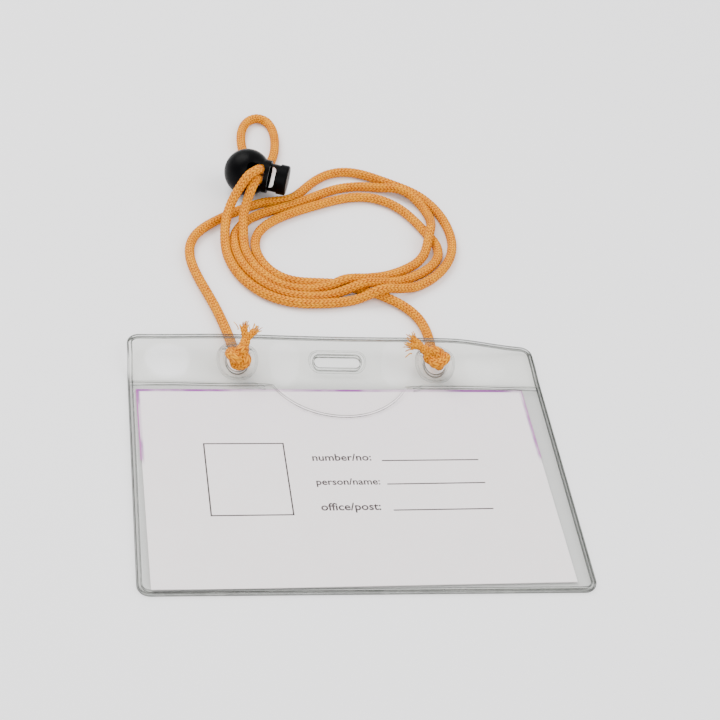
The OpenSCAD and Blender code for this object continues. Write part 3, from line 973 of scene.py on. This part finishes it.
def knot_line(at, size, turn, tail):
    """Centreline of a stopper knot: the cord comes up through the eyelet, runs once round an
    overhand knot and leaves along the tail. The knot is most of a trefoil,
    x = sin t + 2 sin 2t, y = cos t - 2 cos 2t, z = -sin 3t, scaled and leant over."""
    t = np.linspace(0.35, 0.35 + 2 * np.pi * 0.93, 40)
    plan = np.stack([np.sin(t) + 2 * np.sin(2 * t), np.cos(t) - 2 * np.cos(2 * t)], 1)
    scale = (size / 2 - 1.7) / 3
    knot = np.column_stack([plan * scale, -np.sin(3 * t) * 1.75])
    lean = np.array(Matrix.Rotation(turn, 3, "Z") @ Matrix.Rotation(0.75, 3, "X"))
    knot = knot @ lean.T + np.array(at)
    way = np.array(tail[1]) - np.array(tail[0])
    way = way / np.linalg.norm(way)
    out = [np.array(tail[0]) - way * 0.6, np.array(tail[0]) + way * 1.6]
    return curve_through([*knot.tolist(), *[p.tolist() for p in out]], 0.45)


def yarn_tuft(name, start, tip, count, seed, mat):
    """Frayed yarns at a cord's end: each a thin tube that leaves the cord straight, fans out
    towards the tip and curls by a random arc."""
    random = np.random.default_rng(seed)
    yarns = []
    for _ in range(count):
        end = tip + random.normal(0, 0.55, 3)
        way = end - start
        ring = random.normal(0, 0.62, 3)
        ring -= way * (ring @ way) / (way @ way)
        bow = random.normal(0, 0.7, 3)
        t = np.linspace(0, 1, 9)[:, None]
        line = start + ring * (1 - 0.25 * t) + way * t * random.uniform(0.75, 1.12)
        line = line + bow * (t * t * (1.2 - t)) + ring * 0.9 * t * t
        thick = random.uniform(0.16, 0.27) * (1 - 0.35 * t)
        yarns.append(tube_mesh(line, thick, 6))
    return new_piece(name, *joined(yarns), mat)


class KnotsOperator(bpy.types.Operator):
    """Makes the two stopper knots and their frayed cord ends"""

    bl_idname = "badge.knots"
    bl_label = "Knots"

    # For each knot: its side, its turn, its middle, the tail's two points, the two ends that
    # the tail forks to, and the seed of its loose yarns.
    places = (
        ("left", 0.5, (-33.0, 40.0, 7.4), [(-31.9, 41.6, 8.4), (-30.6, 45.0, 9.9)],
         [(-31.3, 48.6, 12.4), (-27.6, 47.6, 11.6)], 3),
        ("right", 2.3, (33.0, 40.8, 7.4), [(30.9, 41.9, 8.2), (28.2, 43.8, 9.1)],
         [(24.9, 46.4, 10.6), (24.3, 44.3, 9.4)], 8),
    )

    def execute(self, context):
        mat = bpy.data.materials["Braided cord"]
        yarn = yarn_material()
        for side, turn, at, tail, ends, seed in self.places:
            low, high = size_of(side + "_knot")
            line = knot_line(at, float(high[0] - low[0]) + 0.8, turn, tail)
            root, tips = np.array(tail[1]), np.array(ends)
            back = root - (root - np.array(tail[0])) * 0.3
            knot = braided_tube(side + "_knot_cord", line, 3.6, 0.25, 30, mat, 1.2)[0]
            stub = braided_tube(side + "_stub", curve_through(tail, 0.3), 3.4, 0.25, 30, mat, 1.3)[0]
            belongs(knot, HOLDER, "braided_cord", side + "_knot")
            belongs(stub, HOLDER, "braided_cord", side + "_tail")
            for k, tip in enumerate(tips):
                bent = (root + tip) / 2 + np.array([0, 0, 0.35])
                fork_line = curve_through([back, root, bent, tip], 0.3)
                fork_name = f"{side}_fork_{k + 1}"
                fork = braided_tube(fork_name, fork_line, 2.5, 0.25, 24, mat, 1.3)[0]
                way = (tip - root) / np.linalg.norm(tip - root)
                tuft = yarn_tuft(f"{side}_tuft_{k + 1}", tip - way * 0.8, tip + way * 1.3, 22,
                                 seed + k, yarn)
                belongs(fork, HOLDER, "braided_cord")
                belongs(tuft, HOLDER, "braided_cord")
        return {"FINISHED"}


# ---- Vinyl --------------------------------------------------------------------------------


def smoothstep(value, low, high):
    """Smooth rise from 0 at low to 1 at high."""
    t = np.clip((np.asarray(value, float) - low) / (high - low), 0, 1)
    return t * t * (3 - 2 * t)


def lift(x, y):
    """Height of the holder above the table, in millimetres: flat over the pocket, then a smooth
    rise to the header, which the cord holds up at its eyelets. The right corner droops, and
    the header sags a little between and beside the eyelets."""
    x, y = np.asarray(x, float), np.asarray(y, float)
    start = SLIT_Y + 2.5
    rise = smoothstep(y, start, start + 10)
    droop = 1 - sizes().droop * smoothstep(x, EYELET_X + 6, HALF_W)
    left = 1 - 0.12 * smoothstep(-x, EYELET_X + 4, HALF_W)
    sag = 0.35 * (np.exp(-((np.abs(x) - EYELET_X) / 17.0) ** 2) - 0.5)
    return RISE * rise * droop * left + sag * rise


def ripple(x, y, size=1.0):
    """Slow waves of a soft ply, in millimetres, none at the welded edge."""
    inside = smoothstep(HALF_W - np.abs(x), 1.5, 9) * smoothstep(HALF_H - np.abs(y), 1.5, 9)
    wave = (
        np.sin(x / 9.1 + 0.7 * np.sin(y / 13.0)) * np.cos(y / 11.0 + 0.4)
        + 0.6 * np.sin(x / 5.3 + y / 7.7 + 1.1)
    )
    return 0.09 * size * inside * wave


def rounded_loop(half_w, half_h, radius, step, centre=(0.0, 0.0)):
    """Points anticlockwise round a rounded rectangle, and their outward directions."""
    points, normals = [], []
    corners = ((1, 1, 0), (-1, 1, 90), (-1, -1, 180), (1, -1, 270))
    inner_w, inner_h = half_w - radius, half_h - radius
    for k, (sx, sy, first) in enumerate(corners):
        count = max(int(radius * np.pi / 2 / min(step, radius * 0.2)), 6)
        a = np.radians(first + np.linspace(0, 90, count + 1))
        ring = np.stack([np.cos(a), np.sin(a)], 1)
        points.append(np.array([sx * inner_w, sy * inner_h]) + radius * ring)
        normals.append(ring)
        nsx, nsy, _ = corners[(k + 1) % 4]
        start = points[-1][-1]
        end = np.array([nsx * inner_w, nsy * inner_h]) + radius * ring[-1]
        runs = int(np.linalg.norm(end - start) / step)
        if runs > 1:
            t = (np.arange(1, runs) / runs)[:, None]
            points.append(start + (end - start) * t)
            normals.append(np.repeat(ring[-1:], runs - 1, 0))
    points, normals = np.vstack(points), np.vstack(normals)
    kept = np.linalg.norm(points - np.roll(points, 1, 0), axis=1) > 1e-4
    return points[kept] + np.array(centre), normals[kept]


def inside_loop(points, loop):
    """Which points lie inside a closed loop, by counting the edges to their right."""
    x, y = points[:, :1], points[:, 1:]
    x0, y0 = loop[:, 0], loop[:, 1]
    x1, y1 = np.roll(x0, -1), np.roll(y0, -1)
    spans = (y0 > y) != (y1 > y)
    with np.errstate(divide="ignore", invalid="ignore"):
        cross = x0 + (y - y0) * (x1 - x0) / (y1 - y0)
    return (np.sum(spans & (x < cross), axis=1) % 2).astype(bool)


def ply_piece(name, outline, holes, height, grid, mat):
    """A soft ply: the plan outline with its holes, filled with an even grid of points, each
    lifted to height(x, y), and given the ply's thickness upwards."""
    loops = [outline, *holes]

    def in_sheet(points):
        """Which points lie inside the outline and outside every hole."""
        inside = inside_loop(points, outline)
        for hole in holes:
            inside &= ~inside_loop(points, hole)
        return inside

    low, high = outline.min(0), outline.max(0)
    xs = np.arange(low[0] + grid * 0.7, high[0], grid)
    ys = np.arange(low[1] + grid * 0.7, high[1], grid)
    inner = np.stack(np.meshgrid(xs, ys), -1).reshape(-1, 2)
    keep = in_sheet(inner)
    edge = np.vstack(loops)
    for k in range(0, len(inner), 2000):
        part = slice(k, k + 2000)
        near = np.linalg.norm(inner[part, None] - edge[None], axis=2).min(1)
        keep[part] &= near > 0.45 * grid
    points = np.vstack([edge, inner[keep]])
    edges, first = [], 0
    for loop in loops:
        k = np.arange(len(loop))
        edges += (np.stack([k, (k + 1) % len(loop)], 1) + first).tolist()
        first += len(loop)
    made = delaunay_2d_cdt([Vector(p) for p in points], edges, [], 1, 1e-5)
    plan = np.array([tuple(v) for v in made[0]])
    tris = np.array(made[2])
    tris = tris[in_sheet(plan[tris].mean(1))]
    a, b, c = (plan[tris[:, k]] for k in range(3))
    turned = (b[:, 0] - a[:, 0]) * (c[:, 1] - a[:, 1]) < (b[:, 1] - a[:, 1]) * (c[:, 0] - a[:, 0])
    tris[turned] = tris[turned][:, ::-1]
    used, tris = np.unique(tris, return_inverse=True)
    plan = plan[used]
    verts = np.column_stack([plan, height(plan[:, 0], plan[:, 1])])
    piece = new_piece(name, verts, tris.reshape(-1, 3).tolist(), mat)
    solid = piece.modifiers.new("Thickness", "SOLIDIFY")
    solid.thickness = sizes().ply * MM
    solid.offset = 1
    solid.use_rim_only = True
    piece.data.materials.append(bpy.data.materials["Cut edge"])
    solid.material_offset_rim = 1
    return piece


def bead_rings(name, points, normals, rings, height, mat):
    """Weld beads round a closed plan loop, one closed tube for each ring (inset, middle height,
    half width, half height, ticks): point(s, a) = loop(s) - (inset + half width * cos a) *
    normal(s), at height(x, y) + middle + half height * sin a. Ticks give the ring that many
    small bumps on its way round."""
    around = 12
    a = np.arange(around) * 2 * np.pi / around
    tubes = []
    for inset, middle, wide, tall, ticks in rings:
        reach = inset + wide * np.cos(a)
        plan = points[:, None] - reach[None, :, None] * normals[:, None]
        way = np.arctan2(normals[:, 1], normals[:, 0])
        bump_size = 1 - 0.75 * (0.5 + 0.5 * np.cos(ticks * way)) if ticks else np.ones(len(way))
        z = middle + (tall * bump_size)[:, None] * np.sin(a)[None]
        z = z + height(plan[..., 0], plan[..., 1])
        verts = np.concatenate([plan, z[..., None]], -1).reshape(-1, 3)
        tubes.append((verts, grid_faces(len(points), around, close_rows=True)))
    bead = new_piece(name, *joined(tubes), mat)
    facing_out(bead)
    return bead


def slit_line(gap, side):
    """The slit's edge from left to right, gap above or below the slit's middle: straight from
    each side, then round the thumb tongue."""
    radius = TONGUE_R - gap
    y = SLIT_Y + gap - SLIT_HALF
    half = math.sqrt(max(radius**2 - (TONGUE_Y - y) ** 2, 0))
    first = math.atan2(y - TONGUE_Y, -half)
    last = math.atan2(y - TONGUE_Y, half)
    if first > 0:
        first -= 2 * math.pi
    a = np.linspace(first, last, 48)
    arc = np.stack([radius * np.cos(a), TONGUE_Y + radius * np.sin(a)], 1)
    left = np.stack([np.linspace(-side, -half, 34)[:-1], np.full(33, y)], 1)
    right = np.stack([np.linspace(half, side, 34)[1:], np.full(33, y)], 1)
    return np.vstack([left, arc, right])


def front_z():
    """Height of the front plies' undersides over the pocket, in millimetres."""
    return STACK - sizes().ply


def back_height(x, y):
    """Height of the back ply: on the table, with shallow ripples."""
    return lift(x, y) + 0.01 + 0.35 * np.abs(ripple(x, y, 0.6))


def header_height(x, y):
    """Height of the front ply above the slit: its lip beside the tongue stands up a little, and
    so does the tongue."""
    near_slit = np.exp(-((y - SLIT_Y) / 3.0) ** 2)
    lipped = 0.55 * near_slit * smoothstep(np.abs(x), 20, 26)
    tongue = 0.25 * smoothstep(SLIT_Y - y, 0, 8)
    return front_z() + lift(x, y) + ripple(x, y, 1.2) + 0.12 + lipped + tongue


def pocket_height(x, y):
    """Height of the front ply below the slit: it bows up over the card, more at the slit."""
    inside = smoothstep(HALF_W - np.abs(x), 1, 12) * smoothstep(y + HALF_H, 1, 12)
    lip = 0.35 * smoothstep(y, SLIT_Y - 12, SLIT_Y)
    return front_z() + (sizes().bulge * 0.3 + lip) * inside + ripple(x, y, 0.8) + 0.05


def by_angle(points):
    """The points in order of their angle round the slit's middle."""
    return points[np.argsort(np.arctan2(points[:, 1] - SLIT_Y, points[:, 0]))]


class VinylOperator(bpy.types.Operator):
    """Makes the vinyl plies and the welds that join them"""

    bl_idname = "badge.vinyl"
    bl_label = "Vinyl"

    eyes = ((-EYELET_X, PUNCH_Y), (EYELET_X, PUNCH_Y))
    header_tint = (0.925, 0.928, 0.912, 1)

    def execute(self, context):
        bead = bead_material()
        cut_edge_material()
        self.make_plies()
        self.make_lips(bead)
        self.make_welds(bead)
        return {"FINISHED"}

    def make_plies(self):
        """The back ply, and the front one in two parts with the slit between them."""
        tint = tuple(sizes().vinyl_tint)
        hole_r, slot_half = EYELET_HOLE_R, SLOT_HALF - SLOT_WELD_W
        holes = [rounded_loop(hole_r, hole_r, hole_r, 0.6, centre)[0] for centre in self.eyes]
        holes.append(rounded_loop(slot_half[0], slot_half[1], slot_half[1], 0.6, (0, PUNCH_Y))[0])
        inset = SEAM_W * 0.4
        whole, _ = rounded_loop(HALF_W - inset, HALF_H - inset, CORNER_R - inset, 1.6)
        upper, lower = (slit_line(gap, HALF_W - inset) for gap in (SLIT_HALF, -0.3))
        above, below = whole[whole[:, 1] > SLIT_Y + 1.2], whole[whole[:, 1] < SLIT_Y - 1.2]
        header_loop = np.vstack([upper, by_angle(above)])
        pocket_loop = np.vstack([lower[::-1], by_angle(below)])
        plies = (
            # The back ply's last number is the share of painted shadow that darkens it below the
            # slit.
            ("back_ply", whole, holes, back_height, 2.2, "back_sheet",
             vinyl_material("Back vinyl", tint, 0.010, 0.16, (0, 0, 0.4), 0.34)),
            ("header_ply", header_loop, holes, header_height, 1.6, "header_sheet",
             vinyl_material("Header vinyl", self.header_tint, 0.010, 0.12, (0, 0, 1.3))),
            ("pocket_ply", pocket_loop, [], pocket_height, 2.2, "pocket_sheet",
             vinyl_material("Pocket vinyl", tint, 0.010, 0.14, (0, 0, 2.2))),
        )
        for name, outline, gaps, height, grid, node, mat in plies:
            belongs(ply_piece(name, outline, gaps, height, grid, mat), HOLDER, "clear_vinyl", node)

    def make_lips(self, bead):
        """Thin rolled lips along both edges of the slit, on each side of the tongue."""
        lips = []
        for side in (-1, 1):
            for y, above in ((SLIT_Y + 0.45, 0.75), (SLIT_Y - 0.75, 0.55)):
                reach = np.linspace(HALF_W - SEAM_W, 24.5, 60)
                bow = 0.025 * np.sin(reach / 7.0 + side)
                near = smoothstep(-reach, -28.5, -24.5)
                line = np.column_stack([side * reach, y - 1.3 * near, front_z() + above + bow])
                thick = 0.23 + 0.05 * np.sin(reach / 4.0)
                lips.append(tube_mesh(line, thick[:, None], 10))
        lip = new_piece("slit_lips", *joined(lips), bead)
        facing_out(lip)
        belongs(lip, HOLDER, "clear_vinyl")

    def make_welds(self, bead):
        """The fused edge all round, the two eyelet rings and the clip slot's rim."""
        outer, out = rounded_loop(HALF_W, HALF_H, CORNER_R, 0.9)
        edge_rings = ((0.30, STACK * 0.5, 0.29, 0.66, 0),
                      (SEAM_W - 0.12, STACK * 0.72, 0.24, 0.52, 0))
        welds = [("edge_bead", outer, out, edge_rings, "edge_weld")]
        width = EYELET_R - EYELET_HOLE_R
        eyelet_rings = ((0.30, STACK + 0.06, 0.26, 0.26, 0),
                        (width - 0.2, STACK * 0.55, 0.28, 0.68, 0),
                        (width * 0.50, STACK + 0.03, 0.80, 0.26, 18))
        for side, centre in zip(("left", "right"), self.eyes):
            ring, out = rounded_loop(EYELET_R, EYELET_R, EYELET_R, 0.25, centre)
            name, node = side + "_eyelet_bead", side + "_eyelet_weld"
            welds.append((name, ring, out, eyelet_rings, node))
        ring, out = rounded_loop(SLOT_HALF[0], SLOT_HALF[1], SLOT_HALF[1], 0.4, (0, PUNCH_Y))
        slot_rings = ((0.34, STACK + 0.08, 0.30, 0.28, 0), (1.68, STACK * 0.6, 0.30, 0.70, 0))
        welds.append(("slot_bead", ring, out, slot_rings, "slot_weld"))
        for name, loop, outward, rings, node in welds:
            weld = bead_rings(name, loop, outward, rings, lift, bead)
            belongs(weld, HOLDER, "fused_vinyl", node)


# ---- Card and slip ------------------------------------------------------------------------


def on_card(u, v, z):
    """Place in the holder's frame of a point (u, v) on the card, from the card's middle."""
    ca, sa = math.cos(CARD_TILT), math.sin(CARD_TILT)
    return (CARD_MID[0] + u * ca - v * sa, CARD_MID[1] + u * sa + v * ca, z)


class CardOperator(bpy.types.Operator):
    """Gives the card and the slip their papers and prints the card's box, lines and words"""

    bl_idname = "badge.card"
    bl_label = "Card"

    # The ruled lines' ends, then each label's words, the place of its right end and its width,
    # then the picture box's left, low, right and high sides, from the card's middle.
    lines = (((11.3, 9.2), (42.7, 9.4)), ((11.5, -0.8), (43.0, -0.5)),
             ((11.8, -11.6), (43.4, -11.4)))
    words = (("number/no:", 8.2, 9.3, 18.8), ("person/name:", 9.5, -0.9, 20.1),
             ("office/post:", 8.2, -11.4, 18.6))
    picture = (-44.1, -13.0, -19.2, 16.8)

    def execute(self, context):
        coat("insert_card", paper_material())
        coat("backing_slip", slip_material())
        ink = ink_material()
        belongs(self.printed_lines(ink), INSERT, "card_paper")
        for k, (text, u, v, wide) in enumerate(self.words):
            label = self.printed_words("printed_words_" + str(k + 1), text, u, v, wide, ink)
            belongs(label, INSERT, "card_paper")
        return {"FINISHED"}

    def printed_lines(self, ink):
        """The picture box and the ruled lines: one thin strip of ink for each."""
        left, low, right, high = self.picture
        half = sizes().ink / 2
        strips = [
            ((left - half, low), (right + half, low)), ((left - half, high), (right + half, high)),
            ((left, low), (left, high)), ((right, low), (right, high)), *self.lines,
        ]
        sides = ((0, 3, 2, 1), (4, 5, 6, 7), (0, 1, 5, 4), (1, 2, 6, 5), (2, 3, 7, 6), (3, 0, 4, 7))
        boxes = []
        for a, b in strips:
            along = np.array(b) - np.array(a)
            across = np.array((-along[1], along[0])) / np.linalg.norm(along) * half
            plan = (a - across, b - across, b + across, a + across)
            heights = (CARD_HIGH[2] + 0.002, CARD_HIGH[2] + 0.02)
            boxes.append(([on_card(u, v, z) for z in heights for u, v in plan], sides))
        return new_piece("printed_lines", *joined(boxes), ink, smooth=False)

    def printed_words(self, name, text, u, v, wide, ink):
        """One label in ink, its right end at (u, v) on the card, scaled to its width."""
        scene = bpy.context.scene
        curve = bpy.data.curves.new("words", "FONT")
        curve.body = text
        curve.align_x = "RIGHT"
        curve.size = 4 * MM
        curve.extrude = 0.009 * MM
        curve.offset = 0.08 * MM
        curve.resolution_u = 3
        shown = bpy.data.objects.new("words", curve)
        scene.collection.objects.link(shown)
        bpy.context.view_layer.update()
        mesh = bpy.data.meshes.new_from_object(shown)
        share = wide * MM / shown.dimensions.x
        bpy.data.objects.remove(shown)
        mesh.transform(Matrix.Diagonal((share, share, 1, 1)))
        place = Matrix.Translation(Vector(on_card(u, v, CARD_HIGH[2] + 0.011)) * MM)
        mesh.transform(place @ Matrix.Rotation(CARD_TILT, 4, "Z"))
        mesh.materials.clear()
        mesh.materials.append(ink)
        label = bpy.data.objects.new(name, mesh)
        scene.collection.objects.link(label)
        return label


# ---- Cord lock ----------------------------------------------------------------------------


class LockOperator(bpy.types.Operator):
    """Gives the lock its plastic and makes its spring"""

    bl_idname = "badge.lock"
    bl_label = "Cord lock"

    def execute(self, context):
        plastic = plastic_material()
        for node in ("lock_body", "lock_plunger"):
            coat(node, plastic)
        # The spring: a helix from the bore's floor to the plunger's pocket, at rest.
        turns, radius, wire = 4.5, 2.0, 0.3
        first, last = BORE_FLOOR + wire, 1.3 - wire
        t = np.linspace(0, 1, 160)
        a = 2 * np.pi * turns * t
        along = first + (last - first) * t
        own = np.stack([along, radius * np.cos(a), radius * np.sin(a)], 1)
        line = own @ LOCK_TURN.T + LOCK_AT
        spring = new_piece("lock_coil_spring", *tube_mesh(line, wire, 12), steel_material())
        facing_out(spring)
        belongs(spring, HOLDER, "spring_steel", "lock_spring")
        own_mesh(spring)
        return {"FINISHED"}


class BADGE_PT_panel(bpy.types.Panel):
    """Lists the pieces in the 3D view's sidebar"""

    bl_label = "Badge holder"
    bl_space_type = "VIEW_3D"
    bl_region_type = "UI"
    bl_category = "Badge holder"

    def draw(self, context):
        for operator in OPERATORS:
            self.layout.operator(operator.bl_idname)


OPERATORS = (
    StageOperator, CordOperator, KnotsOperator, VinylOperator, CardOperator, LockOperator
)
CLASSES = (HolderSizes, CordSizes, *OPERATORS, BADGE_PT_panel)


def register():
    for cls in CLASSES:
        bpy.utils.register_class(cls)
    bpy.types.Scene.badge_holder = bpy.props.PointerProperty(type=HolderSizes)
    bpy.types.Scene.badge_cord = bpy.props.PointerProperty(type=CordSizes)


def unregister():
    del bpy.types.Scene.badge_holder
    del bpy.types.Scene.badge_cord
    for cls in reversed(CLASSES):
        bpy.utils.unregister_class(cls)


def main():
    register()
    for operator in OPERATORS:
        kind, name = operator.bl_idname.split(".")
        getattr(getattr(bpy.ops, kind), name)()


if __name__ == "__main__":
    main()
